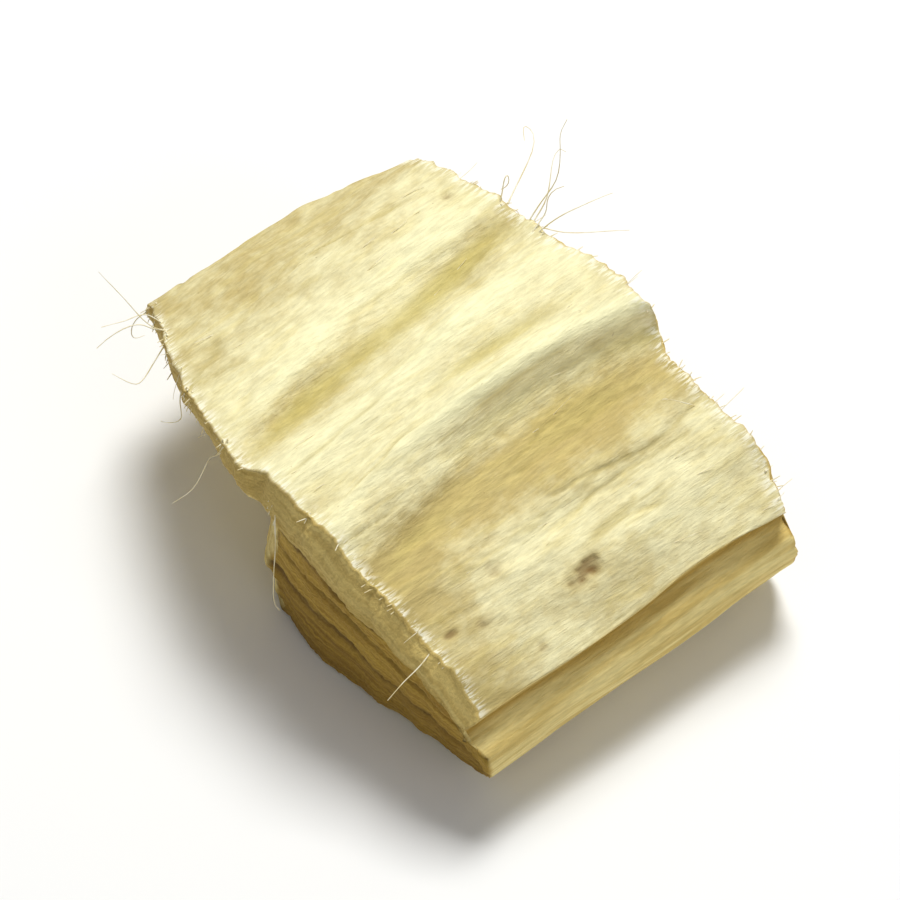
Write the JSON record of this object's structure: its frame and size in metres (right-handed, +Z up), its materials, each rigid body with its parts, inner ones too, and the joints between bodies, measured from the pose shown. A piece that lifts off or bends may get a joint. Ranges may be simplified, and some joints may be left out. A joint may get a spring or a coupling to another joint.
{
  "type": "marshmallow root piece",
  "caption": "Chopped piece of dried peeled marshmallow root with a furrowed, ridged outer skin, straight end cuts and a nearly flat underside.",
  "frame": {"origin": "middle of the underside, at the height of the surface the piece lies on", "axes": "+X across the grain towards the thinner side, +Y along the grain of the root, +Z up towards the ridged skin"},
  "size_m": [0.0128, 0.0094, 0.0054],
  "materials": {
    "dried_root": "dry, fibrous and matt"
  },
  "bodies": {
    "root": {"root_piece": "dried_root"}
  },
  "joints": []
}
